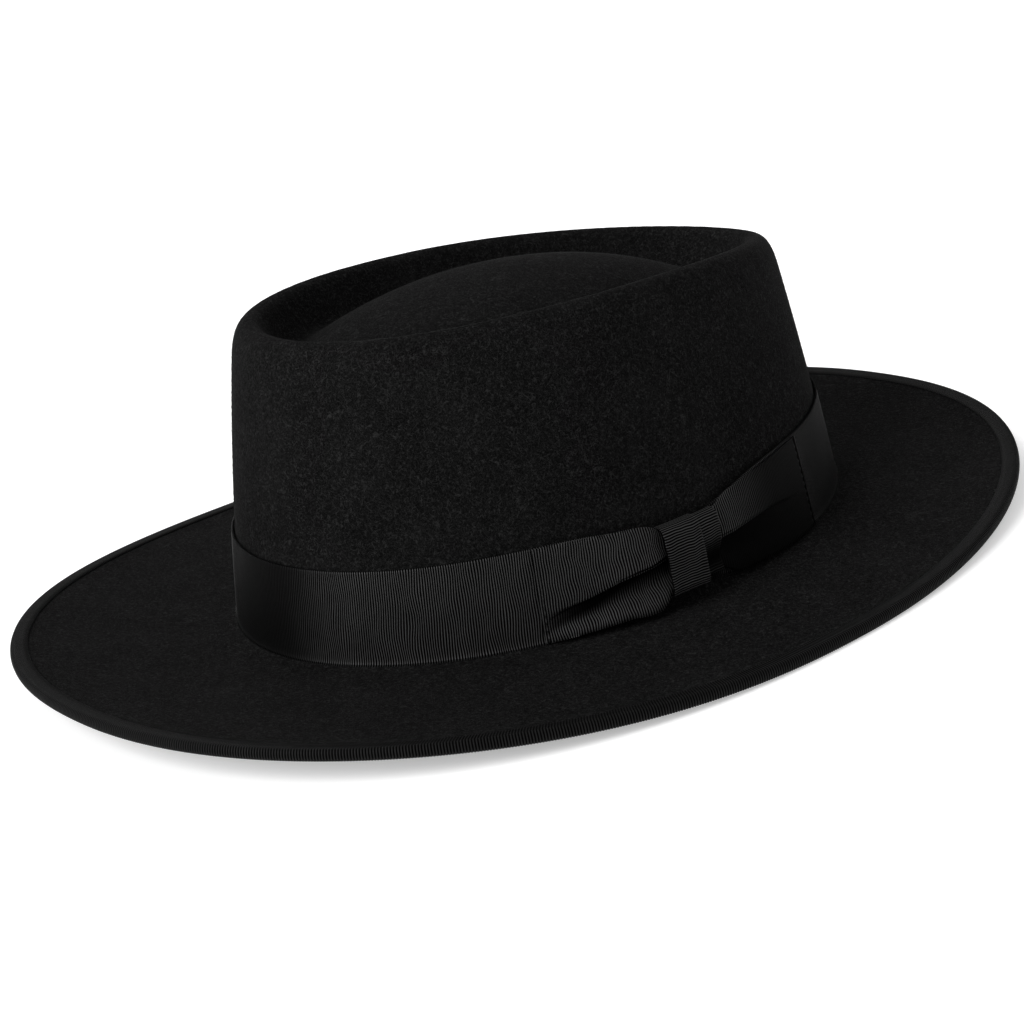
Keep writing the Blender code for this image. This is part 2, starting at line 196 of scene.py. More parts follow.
# Stitches that hold the wings' sewn ends down
SEAM_INSET = 1.2 * MM
SEAM_DEPTH = 0.5 * MM
SEAM_SPREAD = 0.35 * MM
SEAM_STILL = 6.0 * MM
SEAM_FOOT = BREAK_HEIGHT + BAND_FOOT + 1.3 * MM
STITCH_PITCH = 2.3 * MM
STITCHES = 11
STITCH_LENGTH = 1.5 * MM
THREAD_RADIUS = 0.16 * MM

# How finely the pieces are cut: columns round the hat or across a strap, and rows from edge to edge
FELT_COLUMNS = 256
FELT_ROWS = 185
NAP_COLUMNS = 96
NAP_ROWS = 90
OUTLINE_STEPS = 5760
WING_ROWS = 49
STRAP_COLUMNS = 25

# Camera, at the photograph's angle
VIEW_AZIMUTH = math.radians(54.2)
VIEW_ELEVATION = math.radians(18.43)
VIEW_ROLL = math.radians(9.3)
VIEW_DISTANCE = 700 * MM
VIEW_AIM = (-5.16 * MM, -2.9 * MM, 13.99 * MM)
VIEW_LENS = 76.92
SENSOR = 36.0

# Light: a white air all round, a floor that glows, and two broad lamps. Each lamp has its name, its strength,
# and degrees of spread, azimuth and elevation. They are fitted to one photograph.
AIR_STRENGTH = 0.52
LAMPS = (
    ("broad_lamp", 2.9, 46, -6, 36),
    ("far_lamp", 0.5, 30, -110, 40),
)
FLOOR_GLOW = 0.4


class Wire:
    """A socket that takes part in arithmetic: each operator adds a Math node to its tree."""

    def __init__(self, tree, node, output=0):
        self.tree = tree
        self.node = node
        self.socket = node.outputs[output]

    def part(self, output):
        return Wire(self.tree, self.node, output)

    def math(self, operation, *others):
        return self.tree.add("ShaderNodeMath", {"operation": operation}, dict(enumerate((self, *others))))

    def reflected(self, operation, other):
        return self.tree.add("ShaderNodeMath", {"operation": operation}, {0: other, 1: self})

    def __add__(self, other):
        return self.math("ADD", other)

    def __sub__(self, other):
        return self.math("SUBTRACT", other)

    def __mul__(self, other):
        return self.math("MULTIPLY", other)

    def __truediv__(self, other):
        return self.math("DIVIDE", other)

    def __pow__(self, other):
        return self.math("POWER", other)

    def __rsub__(self, other):
        return self.reflected("SUBTRACT", other)

    __radd__ = __add__
    __rmul__ = __mul__


class Tree:
    """A node tree, of a material or of Geometry Nodes, with one method that adds any node."""

    def __init__(self, nodes):
        self.nodes = nodes

    def add(self, kind, settings=None, inputs=None, output=0):
        node = self.nodes.nodes.new(kind)
        for key, value in (settings or {}).items():
            setattr(node, key, value)
        for key, value in (inputs or {}).items():
            self.feed(node.inputs[key], value)
        return Wire(self, node, output)

    def feed(self, socket, value):
        if isinstance(value, Wire):
            self.nodes.links.new(value.socket, socket)
        else:
            socket.default_value = value


def material_tree(name, **constants):
    """A material whose Principled shader has the given constant values, and its tree and shader."""
    material = bpy.data.materials.new(name)
    material.use_nodes = True
    shader = material.node_tree.nodes["Principled BSDF"]
    for key, value in constants.items():
        shader.inputs[key.replace("_", " ")].default_value = value
    return material, Tree(material.node_tree), shader


def ramp(tree, tone, dark, light):
    """A grey between two, at a tone from 0 to 1."""
    ends = {"Factor": tone, 6: (dark, dark, dark, 1.0), 7: (light, light, light, 1.0)}
    return tree.add("ShaderNodeMix", {"data_type": "RGBA"}, ends, output=2)


def fibre_lines(tree, place, scale, width, seed):
    """Thin wandering lines, broken into short lengths, as loose fibres lie on felt: 1 on a fibre."""
    shifted = tree.add("ShaderNodeVectorMath", {"operation": "ADD"}, {0: place, 1: (seed, seed, seed)})
    look = {"Vector": shifted, "Scale": scale, "Detail": 1.0, "Distortion": 1.6}
    wander = tree.add("ShaderNodeTexNoise", None, look, output="Fac")
    line = 1.0 - ((wander - 0.5).math("ABSOLUTE") / width).math("MINIMUM", 1.0)
    gaps = tree.add("ShaderNodeTexNoise", None, {"Vector": shifted, "Scale": scale * 1.7}, output="Fac")
    span = {"Value": gaps, "From Min": 0.4, "From Max": 0.6, "To Min": 0.1, "To Max": 1.0}
    kept = tree.add("ShaderNodeMapRange", {"clamp": True}, span)
    return line * kept


def black_felt():
    """Short-napped felt: matte, with a fine tangle of fibres that are a little lighter than the ground."""
    material, tree, shader = material_tree(
        "black_felt",
        Specular_IOR_Level=0.02,
        Sheen_Weight=0.02,
        Sheen_Roughness=0.15,
        Sheen_Tint=(0.9, 0.9, 0.9, 1.0),
    )
    place = tree.add("ShaderNodeTexCoord", output="Object")
    coarse = fibre_lines(tree, place, 620.0, 0.06, 0.0)
    fine = fibre_lines(tree, place, 1000.0, 0.07, 3.0)
    cloudy = {"Vector": place, "Scale": 60.0, "Detail": 4.0}
    grainy = {"Vector": place, "Scale": 2400.0, "Detail": 1.0}
    cloud = tree.add("ShaderNodeTexNoise", None, cloudy, output="Fac")
    grain = tree.add("ShaderNodeTexNoise", None, grainy, output="Fac")
    long = fibre_lines(tree, place, 400.0, 0.04, 7.0)
    tone = long * 0.75 + coarse * 0.6 + fine * 0.35 + (grain * 0.7 + cloud * 0.3) ** 3.0
    tree.feed(shader.inputs["Base Color"], ramp(tree, tone, 0.0008, 0.018))
    tree.feed(shader.inputs["Roughness"], 0.88 + grain * 0.1)
    height = coarse * 0.4 + fine * 0.3 + grain * 0.5
    bump = tree.add("ShaderNodeBump", None, {"Strength": 0.7, "Distance": 0.2 * MM, "Height": height})
    tree.feed(shader.inputs["Normal"], bump)
    return material


def loose_fibre():
    """The fibres that stand out of the felt, which catch a little more light than it does."""
    material, tree, shader = material_tree("felt_fibre", Specular_IOR_Level=0.02)
    place = tree.add("ShaderNodeTexCoord", output="Object")
    each = tree.add("ShaderNodeTexNoise", None, {"Vector": place, "Scale": 900.0}, output="Fac")
    tree.feed(shader.inputs["Base Color"], ramp(tree, each, 0.004, 0.03))
    tree.feed(shader.inputs["Roughness"], 0.7 + each * 0.2)
    return material


def black_grosgrain(name, shine, light, contrast, depth):
    """Ribbed ribbon, whose fine warp threads run over each rib and give it a soft shine.

    The ribbon isn't metal. Its base colour is painted lighter on each rib's crest, up to the given light
    grey, and darker in the grooves and wherever the ribs' relief is lost: painted light and shade. Metallic
    over a near-black ground takes the shine away in the same places, by up to depth, so they stay dark under
    any light: painted shade.
    """
    material, tree, shader = material_tree(name, Specular_IOR_Level=shine)
    ribbon = tree.add("ShaderNodeAttribute", {"attribute_name": "ribbon"}, output="Vector")
    parts = tree.add("ShaderNodeSeparateXYZ", None, {"Vector": ribbon})
    rib, across, relief_and_shade = parts, parts.part("Y"), parts.part("Z")
    place = tree.add("ShaderNodeTexCoord", output="Object")
    crest = (rib * math.pi).math("SINE").math("ABSOLUTE")
    thread_pitch = 0.24 * MM
    thread = (across * (2 * math.pi / thread_pitch)).math("SINE") * 0.5 + 0.5
    linty = {"Vector": place, "Scale": 2200.0, "Detail": 2.0}
    shady = {"Vector": place, "Scale": 160.0, "Detail": 2.0}
    lint = tree.add("ShaderNodeTexNoise", None, linty, output="Fac")
    shade = tree.add("ShaderNodeTexNoise", None, shady, output="Fac")
    # Painted light and shade: lighter on each rib's crest, darker in its grooves and where the relief is
    # lost.
    painted_rib_light = crest ** contrast * relief_and_shade
    tone = (thread * 0.2 + lint * 0.4 + shade * 0.4) * painted_rib_light
    tree.feed(shader.inputs["Base Color"], ramp(tree, tone, 0.0005, light))
    tree.feed(shader.inputs["Metallic"], depth * (1.0 - painted_rib_light))
    tree.feed(shader.inputs["Roughness"], 0.7 - painted_rib_light * 0.3 + lint * 0.12)
    uneven = {"Strength": 0.4, "Distance": 0.03 * MM, "Height": thread + lint}
    bump = tree.add("ShaderNodeBump", None, uneven)
    tree.feed(shader.inputs["Normal"], bump)
    return material


def black_thread():
    material, tree, shader = material_tree("black_thread", Specular_IOR_Level=0.4)
    place = tree.add("ShaderNodeTexCoord", output="Object")
    twist = tree.add("ShaderNodeTexNoise", None, {"Vector": place, "Scale": 3000.0}, output="Fac")
    tree.feed(shader.inputs["Base Color"], ramp(tree, twist, 0.004, 0.016))
    tree.feed(shader.inputs["Roughness"], 0.5 + twist * 0.2)
    return material


def geometry_tree(name, **sizes):
    """A Geometry Nodes tree with a geometry input and named float inputs."""
    group = bpy.data.node_groups.new(name, "GeometryNodeTree")
    group.interface.new_socket(name="Geometry", in_out="INPUT", socket_type="NodeSocketGeometry")
    group.interface.new_socket(name="Geometry", in_out="OUTPUT", socket_type="NodeSocketGeometry")
    for key, value in sizes.items():
        kind = "NodeSocketMaterial" if value == "material" else "NodeSocketFloat"
        kind = "NodeSocketInt" if isinstance(value, int) else kind
        socket = group.interface.new_socket(name=key.replace("_", " "), in_out="INPUT", socket_type=kind)
        if kind != "NodeSocketMaterial":
            socket.default_value = value
    tree = Tree(group)
    return group, tree, tree.add("NodeGroupInput")


def end_tree(tree, geometry, material):
    """Every tree ends with its instances made real, its material set and its faces shaded smooth."""
    real = tree.add("GeometryNodeRealizeInstances", None, {"Geometry": geometry})
    dressed = tree.add("GeometryNodeSetMaterial", None, {"Geometry": real, "Material": material})
    smooth = tree.add("GeometryNodeSetShadeSmooth", None, {"Geometry": dressed})
    out = tree.nodes.nodes.new("NodeGroupOutput")
    tree.nodes.links.new(smooth.socket, out.inputs[0])


def grow(piece, group, **values):
    """Runs a Geometry Nodes tree on a piece and keeps the result as its mesh."""
    modifier = piece.modifiers.new(group.name, "NODES")
    modifier.node_group = group
    wanted = {key.replace("_", " "): value for key, value in values.items()}
    for item in group.interface.items_tree:
        if item.in_out == "INPUT" and item.name in wanted:
            modifier[item.identifier] = wanted[item.name]
    graph = bpy.context.evaluated_depsgraph_get()
    mesh = bpy.data.meshes.new_from_object(piece.evaluated_get(graph), depsgraph=graph)
    mesh.name = piece.name
    piece.modifiers.remove(modifier)
    old = piece.data
    piece.data = mesh
    bpy.data.meshes.remove(old)
    return piece


def rib_tree():
    """Ribs across a ribbon, from its attribute: the rib's number, metres across, and its share of relief."""
    group, tree, given = geometry_tree(
        "grosgrain_ribs", Rib_Height=RIB_HEIGHT, Rib_Fullness=RIB_FULLNESS, Material="material"
    )
    vector = {"data_type": "FLOAT_VECTOR"}
    ribbon = tree.add("GeometryNodeInputNamedAttribute", vector, {"Name": "ribbon"}, output="Attribute")
    parts = tree.add("ShaderNodeSeparateXYZ", None, {"Vector": ribbon})
    ridge = (parts * math.pi).math("SINE").math("ABSOLUTE") ** given.part("Rib Fullness")
    rise = (ridge - 1.0) * given.part("Rib Height") * parts.part("Z")
    normal = tree.add("GeometryNodeInputNormal")
    offset = tree.add("ShaderNodeVectorMath", {"operation": "SCALE"}, {0: normal, "Scale": rise})
    ribbed = tree.add("GeometryNodeSetPosition", None, {"Geometry": given, "Offset": offset})
    end_tree(tree, ribbed, given.part("Material"))
    return group


def stitch_tree():
    """A run of stitches along a line of edges: each is a short thread lying along the line."""
    group, tree, given = geometry_tree(
        "stitches",
        Stitch_Pitch=STITCH_PITCH,
        Stitch_Length=STITCH_LENGTH,
        Thread_Radius=THREAD_RADIUS,
        Material="material",
    )
    line = tree.add("GeometryNodeMeshToCurve", None, {"Mesh": given})
    spots = tree.add(
        "GeometryNodeCurveToPoints", {"mode": "LENGTH"}, {"Curve": line, "Length": given.part("Stitch Pitch")}
    )
    thread = tree.add("GeometryNodeMeshIcoSphere", None, {"Radius": 0.5, "Subdivisions": 2})
    radius = given.part("Thread Radius") * 2.0
    sizes = {"X": radius, "Y": radius, "Z": given.part("Stitch Length")}
    size = tree.add("ShaderNodeCombineXYZ", None, sizes)
    sewn = tree.add(
        "GeometryNodeInstanceOnPoints",
        None,
        {"Points": spots, "Instance": thread, "Rotation": spots.part("Rotation"), "Scale": size},
    )
    end_tree(tree, sewn, given.part("Material"))
    return group


def nap_tree():
    """Loose fibres that stand out of the felt, leaning at random."""
    group, tree, given = geometry_tree(
        "felt_nap",
        Fibres_each_square_metre=420000.0,
        Fibre_Length=1.7 * MM,
        Fibre_Radius=0.035 * MM,
        Seed=7,
        Material="material",
    )
    spots = tree.add(
        "GeometryNodeDistributePointsOnFaces",
        {"distribute_method": "RANDOM"},
        {"Mesh": given, "Density": given.part("Fibres each square metre"), "Seed": given.part("Seed")},
    )
    fibre = tree.add(
        "GeometryNodeMeshCone",
        {"fill_type": "NONE"},
        {"Vertices": 3, "Side Segments": 1, "Radius Top": 0.0, "Radius Bottom": 1.0, "Depth": 1.0},
    )
    lean = tree.add(
        "FunctionNodeRandomValue",
        {"data_type": "FLOAT_VECTOR"},
        {"Min": (1.15, 0.0, -math.pi), "Max": (1.52, 0.0, math.pi), "Seed": given.part("Seed")},
    )
    turning = {"Rotation": spots.part("Rotation"), "Rotate By": lean}
    turned = tree.add("FunctionNodeRotateRotation", {"rotation_space": "LOCAL"}, turning)
    lengths = {2: 0.4, 3: 1.0, "Seed": given.part("Seed") + 1}
    length = tree.add("FunctionNodeRandomValue", {"data_type": "FLOAT"}, lengths, output=1)
    radius = given.part("Fibre Radius")
    sizes = {"X": radius, "Y": radius, "Z": given.part("Fibre Length") * length}
    size = tree.add("ShaderNodeCombineXYZ", None, sizes)
    grown = {"Points": spots, "Instance": fibre, "Rotation": turned, "Scale": size}
    nap = tree.add("GeometryNodeInstanceOnPoints", None, grown)
    end_tree(tree, nap, given.part("Material"))
    return group


def around(turn, front, side, back, diagonal=None):
    """A value at each turn round the hat, from its values at the front, the sides, the back and between."""
    mean = (front + back + 2 * side) / 4
    middle = mean if diagonal is None else (mean + diagonal) / 2
    return (
        middle
        + (back - front) / 2 * np.sin(turn)
        + (side - mean) * np.cos(2 * turn)
        + (mean - middle) * np.cos(4 * turn)
    )


def full_turn(steps):
    """Turns round the hat: 0 at the wearer's left, a quarter turn at the back."""
    return np.arange(steps) * 2 * math.pi / steps


def oval(length, width, turn, squareness=2.0, taper=0.0):
    """Points of a superellipse whose width tapers towards the back, as rows of x and y."""
    cos, sin = np.cos(turn), np.sin(turn)
    x = width / 2 * np.sign(cos) * np.abs(cos) ** (2 / squareness) * (1 - taper * sin)
    y = length / 2 * np.sign(sin) * np.abs(sin) ** (2 / squareness)
    return np.stack([x, y], axis=-1)


def crown_foot(turn):
    return oval(CROWN_LENGTH, CROWN_WIDTH, turn) + (0, CROWN_SET_BACK)


def crown_out(turn):
    """The level direction out of the crown."""
    out = np.stack([np.cos(turn) / CROWN_WIDTH, np.sin(turn) / CROWN_LENGTH], axis=-1)
    return out / np.linalg.norm(out, axis=-1, keepdims=True)


def tip_corner(turn):
    """Where the crown's wall and top would meet if their corner were sharp."""
    corner = oval(TIP_LENGTH, TIP_WIDTH, turn, TIP_SQUARENESS, TIP_TAPER)
    return corner + (0, CROWN_SET_BACK + TIP_SET_BACK)


def crown_height(turn):
    return around(turn, CROWN_FRONT, CROWN_SIDE, CROWN_BACK)


def lifted(flat, height):
    """Points of x and y, at heights above the break's plane, which is pitched down to the front."""
    level = BREAK_HEIGHT + math.tan(BREAK_PITCH) * (flat[..., 1] - CROWN_SET_BACK)
    return np.concatenate([flat, (level + height)[..., None]], axis=-1)


def break_flare(height):
    """How far the rounding at the break stands out of the crown's wall at a height above the break."""
    left = 1 - np.sqrt(np.clip(height / BREAK_RADIUS, 0, 1))
    return BREAK_RADIUS * left**2


def on_crown(turn, height, proud):
    """Points over the crown's wall at a height above the break, standing proud of its felt."""
    share = (height / crown_height(turn))[..., None]
    share = share - WALL_BARREL * share * (1 - share)
    flat = crown_foot(turn) * (1 - share) + tip_corner(turn) * share
    return lifted(flat + crown_out(turn) * proud[..., None], height)


def brim_outline(turn):
    return oval(BRIM_LENGTH, BRIM_WIDTH, turn, BRIM_SQUARENESS, BRIM_TAPER)


def brim_out(turn):
    """The level direction out of the brim's edge."""
    step = 0.05
    tangent = brim_outline(turn + step) - brim_outline(turn - step)
    out = np.stack([tangent[:, 1], -tangent[:, 0]], axis=-1)
    return out / np.linalg.norm(out, axis=-1, keepdims=True)


def edge_curl(turn):
    """The angle at which the brim turns up at its edge."""
    return around(turn, EDGE_CURL_FRONT, EDGE_CURL_SIDE, EDGE_CURL_BACK)


def brim_ends(turn):
    """The brim's upper side at the break and at the felt's edge, and the level run between them."""
    curl = edge_curl(turn)
    foot = lifted(crown_foot(turn) + crown_out(turn) * BREAK_RADIUS, np.zeros(len(turn)))
    inset = FELT_INSET + FELT / 2 * np.sin(curl)
    rise = around(turn, BRIM_FRONT_RISE, 0.0, BRIM_BACK_RISE, BRIM_DIAGONAL_RISE)
    height = BRIM_SIDE_HEIGHT + rise + FELT / 2 * np.cos(curl)
    edge = np.concatenate([brim_outline(turn) - brim_out(turn) * inset[:, None], height[:, None]], axis=-1)
    return foot, edge, np.linalg.norm(edge[:, :2] - foot[:, :2], axis=-1)


def brim_line(share, turn):
    """A line of the brim's upper side, at a share of the way from the break to the edge."""
    foot, edge, run = brim_ends(turn)
    share = share * np.ones(len(turn))
    line = foot * (1 - share)[:, None] + edge * share[:, None]
    ease = share * share * (3 - 2 * share)
    late = share**3 - share**2
    line[:, 2] = foot[:, 2] * (1 - ease) + edge[:, 2] * ease + run * np.tan(edge_curl(turn)) * late
    return line


def bend(start, corner, end, steps):
    """Lines that round a corner between two lines."""
    return [(1 - s) ** 2 * start + 2 * s * (1 - s) * corner + s**2 * end for s in steps]


def rim_line(turn, angle):
    """The line round the rolled rim at an angle above the level direction out of the crown."""
    reach = RIM_RADIUS * (1 - math.cos(angle))
    height = crown_height(turn) - RIM_RADIUS * (1 - math.sin(angle))
    return lifted(tip_corner(turn) - crown_out(turn) * reach, height)


def trough_line(turn):
    return lifted(tip_corner(turn) - crown_out(turn) * TROUGH_INSET, crown_height(turn) - TROUGH_DEPTH)


def dome_line(turn, share):
    """A line of the dome, at a share of the way out from its middle: it falls as the square of that share."""
    middle = lifted(
        np.array([0.0, CROWN_SET_BACK + TIP_SET_BACK]),
        np.array((CROWN_FRONT + CROWN_BACK) / 2 + DOME_RISE),
    )
    trough = trough_line(turn)
    line = middle * (1 - share) + trough * share
    slope = (CROWN_BACK - CROWN_FRONT) / TIP_LENGTH
    fall = trough[:, 2] - middle[2] - slope * (trough[:, 1] - middle[1])
    line[:, 2] = middle[2] + slope * (line[:, 1] - middle[1]) + fall * share**2
    return line


def felt_lines(turn):
    """Lines round the felt's outer side, from the brim's edge over the crown to near the dome's middle."""
    level = np.zeros(len(turn))
    steps = np.linspace(0, 1, 9)
    lines = [brim_line(share, turn) for share in np.linspace(1, 0, 40)]
    lift = np.full(len(turn), BREAK_RADIUS)
    lines += bend(lines[-1], lifted(crown_foot(turn), level), on_crown(turn, lift, level), steps[1:])
    rise = crown_height(turn) - SHOULDER - BREAK_RADIUS
    lines += [on_crown(turn, BREAK_RADIUS + rise * share, level) for share in np.linspace(0, 1, 40)[1:]]
    crest = rim_line(turn, math.radians(90))
    lines += bend(lines[-1], lifted(tip_corner(turn), crown_height(turn)), crest, steps[1:])
    lines += [rim_line(turn, math.radians(angle)) for angle in range(100, 171, 10)]
    trough = trough_line(turn)
    down = trough - lines[-1]
    start = trough - down / np.linalg.norm(down, axis=-1, keepdims=True) * TROUGH_RADIUS
    lines += bend(start, trough, dome_line(turn, 0.92), steps)
    lines += [dome_line(turn, share) for share in np.linspace(0.92, 0.02, 40)[1:]]
    return np.array(lines)


def evenly(lines, rows):
    """The same surface as lines an even distance apart on each meridian."""
    steps = np.linalg.norm(np.diff(lines, axis=0), axis=-1)
    length = np.concatenate([np.zeros((1, lines.shape[1])), np.cumsum(steps, axis=0)])
    even = np.empty((rows, lines.shape[1], 3))
    for column in range(lines.shape[1]):
        wanted = np.linspace(0, length[-1, column], rows)
        for axis in range(3):
            even[:, column, axis] = np.interp(wanted, length[:, column], lines[:, column, axis])
    return even


def eased(lines, passes):
    """Corners across the lines are softened, as steam softens a block's edges in felt."""
    for _ in range(passes):
        lines[1:-1] = lines[:-2] * 0.25 + lines[1:-1] * 0.5 + lines[2:] * 0.25
    return lines


def mesh_of(name, rows, closed_round, closed_profile=False, tip=None, columns=None):
    """A mesh of four-sided faces between rows of points; columns holds each point's place on its ribbon."""
    mesh = bpy.data.meshes.new(name)
    count, width = rows.shape[:2]
    index = np.arange(count * width).reshape(count, width)
    if closed_profile:
        index = np.concatenate([index, index[:1]])
    if closed_round:
        index = np.concatenate([index, index[:, :1]], axis=1)
    faces = np.stack([index[:-1, :-1], index[1:, :-1], index[1:, 1:], index[:-1, 1:]], axis=-1).reshape(-1, 4)
    faces = faces[:, ::-1].tolist()
    points = rows.reshape(-1, 3)
    if tip is not None:
        points = np.concatenate([points, [tip]])
        last = index[-1]
        faces += [[b, a, len(points) - 1][::-1] for a, b in zip(last.tolist(), last[1:].tolist())]
    mesh.from_pydata(points.tolist(), [], faces)
    if columns is not None:
        attribute = mesh.attributes.new("ribbon", "FLOAT_VECTOR", "POINT")
        attribute.data.foreach_set("vector", columns.reshape(-1).astype(np.float32))
    mesh.shade_smooth()
    piece = bpy.data.objects.new(name, mesh)
    bpy.context.scene.collection.objects.link(piece)
    return piece


def wall(piece, thickness):
    """Gives a skin its thickness, inwards."""
    solid = piece.modifiers.new("wall", "SOLIDIFY")
    solid.thickness = thickness
    solid.offset = -1
    return piece


def settle(piece, slot, *nodes):
    """The piece rides on the hat and takes the place of its solids."""
    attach(piece, "root")
    if nodes:
        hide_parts(*nodes)
    return piece


def dress(piece, material):
    piece.data.materials.clear()
    piece.data.materials.append(material)
    return piece


def make_felt_body(felt):
    """Crown and brim, blocked from one piece of felt and hollow for the head."""
    turn = full_turn(FELT_COLUMNS)
    lines = eased(evenly(felt_lines(turn), FELT_ROWS), 2)
    body = mesh_of("felt_body_blocked", lines, True, tip=dome_line(turn, 0.0)[0])
    dress(body, felt)
    wall(body, FELT)
    return settle(body, "felt", "felt_body")


def make_nap(fibre):
    """The loose fibres on the outside of the crown and the brim's upper side."""
    turn = full_turn(NAP_COLUMNS)
    lines = eased(evenly(felt_lines(turn), NAP_ROWS), 1)
    nap = mesh_of("felt_nap_fibres", lines, True)
    grow(nap, nap_tree(), Material=fibre)
    return settle(nap, "felt")


def foot_length():
    """The turn at each length along the crown's foot, from the wearer's left side."""
    turn = np.linspace(-math.pi, math.pi, 2881)
    steps = np.linalg.norm(np.diff(crown_foot(turn), axis=0), axis=-1)
    length = np.concatenate([[0.0], np.cumsum(steps)])
    return turn, length - np.interp(0.0, turn, length)


def turn_at(place):
    turn, length = foot_length()
    return np.interp(place, length, turn)


def band_seat(height):
    """How far the band's inner side stands proud of the crown's felt."""
    return break_flare(height) + CLEARANCE * 1.4


def band_face(height):
    """How far the band's outer side stands proud of the crown's felt."""
    return band_seat(height) + RIBBON * 1.2


def ribbing(length, pitch, closed, cuts=RIB_CUTS):
    """The places along a ribbon at which its ribs are cut, and the rib's number at each, with its share."""
    count = round(length / pitch)
    rib = (np.arange(count)[:, None] + np.array(cuts)).ravel()
    if not closed:
        rib = np.append(rib, count)
    return rib * length / count, rib


def crest(rib):
    """1 on a rib's crest and 0 in the groove beside it."""
    return np.abs(np.sin(math.pi * rib)) ** RIB_FULLNESS


def sway(points, seed):
    """How far the ribs wander along the ribbon at these points: a few waves in different directions."""
    chance = np.random.default_rng(seed)
    waves = 14
    total = np.zeros(points.shape[:-1])
    for _ in range(waves):
        direction = chance.normal(size=3)
        span = chance.uniform(SWAY_SHORTEST, SWAY_LONGEST)
        wave = direction / np.linalg.norm(direction) * 2 * math.pi / span
        total += np.sin(points @ wave + chance.uniform(0, 2 * math.pi))
    return total * RIB_WANDER / math.sqrt(waves)


def ribbon_places(rib, across, relief_and_shade=1.0):
    """The ribbon attribute of a row of points. Its relief share also sets how dark the finish is painted:
    painted shade where relief is lost.
    """
    ones = np.ones(len(rib))
    return np.stack([rib, across * ones, relief_and_shade * ones], axis=-1)


def make_hat_band(ribs, grosgrain):
    """The ribbon round the foot of the crown."""
    _, length = foot_length()
    girth = length[-1] - length[0]
    places, rib = ribbing(girth, RIB_PITCH, True)
    levels = BAND_HEIGHT * np.array(BAND_LEVELS)
    height = BAND_FOOT + levels[:, None] * np.ones(len(places))
    height[0] -= RIB_SCALLOP * crest(rib)
    height[-1] += RIB_SCALLOP * crest(rib)
    pinch = np.exp(-(((places - girth / 2 - PINCH_PLACE) / PINCH_REACH) ** 2))
    height += pinch * (PINCH_FOOT - (PINCH_FOOT + PINCH_TOP) * levels[:, None] / BAND_HEIGHT)
    plain = on_crown(turn_at(places) * np.ones(height.shape), height, band_face(height))
    turn = turn_at(places - girth / 2 + sway(plain, 1))
    face = on_crown(turn, height, band_face(height))
    back = on_crown(turn[[-1, 0]], height[[-1, 0]], band_seat(height[[-1, 0]]))
    # Where the band's ribs are flattened, its finish is painted dark as well: painted shade.
    relief_and_shade = np.ones(len(places))
    for place, reach, lost in BAND_FLAT_AND_SHADED:
        relief_and_shade = relief_and_shade - lost * np.exp(-(((places - girth / 2 - place) / reach) ** 4))
    columns = [ribbon_places(rib, level, relief_and_shade) for level in levels]
    columns += [ribbon_places(rib, levels[-1], 0.0), ribbon_places(rib, 0.0, 0.0)]
    rows = np.concatenate([face, back])
    band = mesh_of("hat_band_ribbon", rows, True, closed_profile=True, columns=np.array(columns))
    grow(band, ribs, Material=grosgrain)
    return settle(band, "grosgrain_band", "hat_band")


def make_brim_binding(ribs, grosgrain):
    """The ribbon folded round the brim's edge, flattened where the hat rests."""
    turn = full_turn(OUTLINE_STEPS)
    outline = brim_outline(turn)
    steps = np.linalg.norm(np.roll(outline, -1, axis=0) - outline, axis=-1)
    length = np.concatenate([[0.0], np.cumsum(steps)])
    places, rib = ribbing(length[-1], BINDING_RIB_PITCH, True, BINDING_RIB_CUTS)
    turn = np.interp(places, length, np.append(turn, 2 * math.pi))
    _, _, run = brim_ends(turn)
    inner, edge = brim_line(1 - BINDING_WIDTH / run, turn), brim_line(1.0, turn)
    level = np.concatenate([brim_out(turn), np.zeros((len(turn), 1))], axis=-1)
    rise = edge[:, 2] - inner[:, 2]
    slope = np.arctan2(rise, np.linalg.norm(edge[:, :2] - inner[:, :2], axis=-1))[:, None]
    upright = np.array([0.0, 0.0, 1.0])
    along = level * np.cos(slope) + upright * np.sin(slope)
    square = upright * np.cos(slope) - level * np.sin(slope)
    # Each corner: share of the way to the felt's edge, out past it, and up from the felt's middle
    seat = FELT / 2 + BINDING_SEAT
    under = around(turn, BINDING_UNDER, BINDING_UNDER_WHERE_IT_RESTS, BINDING_UNDER, BINDING_UNDER)
    section = [(0.0, 0.0, -seat), (0.04, 0.0, -under), (0.5, 0.0, -under), (0.85, 0.0, -under)]
    middle = (BINDING_OVER - under) / 2
    half = (BINDING_OVER + under) / 2
    for angle in np.radians((-75, -45, -15, 15, 45, 75)):
        section.append((1.0, (FELT_INSET - BINDING_SLACK) * math.cos(angle), middle + half * math.sin(angle)))
    section += [(share, 0.0, BINDING_OVER) for share in (0.85, 0.45, 0.05)]
    section.append((0.0, 0.0, seat))
    rows = []
    columns = []
    across = 0.0
    for share, out, up in section:
        lift = (up - FELT / 2) * np.ones(len(turn))
        row = inner * (1 - share) + edge * share + along * out + square * lift[:, None]
        if rows:
            across += float(np.linalg.norm(row - rows[-1], axis=-1).mean())
        rows.append(row)
        columns.append(ribbon_places(rib, across))
    rows = np.array(rows)
    rows[..., 2] = np.maximum(rows[..., 2], 0.0)
    binding = mesh_of("brim_binding_ribbon", rows, True, closed_profile=True, columns=np.array(columns))
    grow(binding, ribs, Rib_Height=BINDING_RIB_HEIGHT, Material=grosgrain)
    return settle(binding, "grosgrain_binding", "brim_binding")


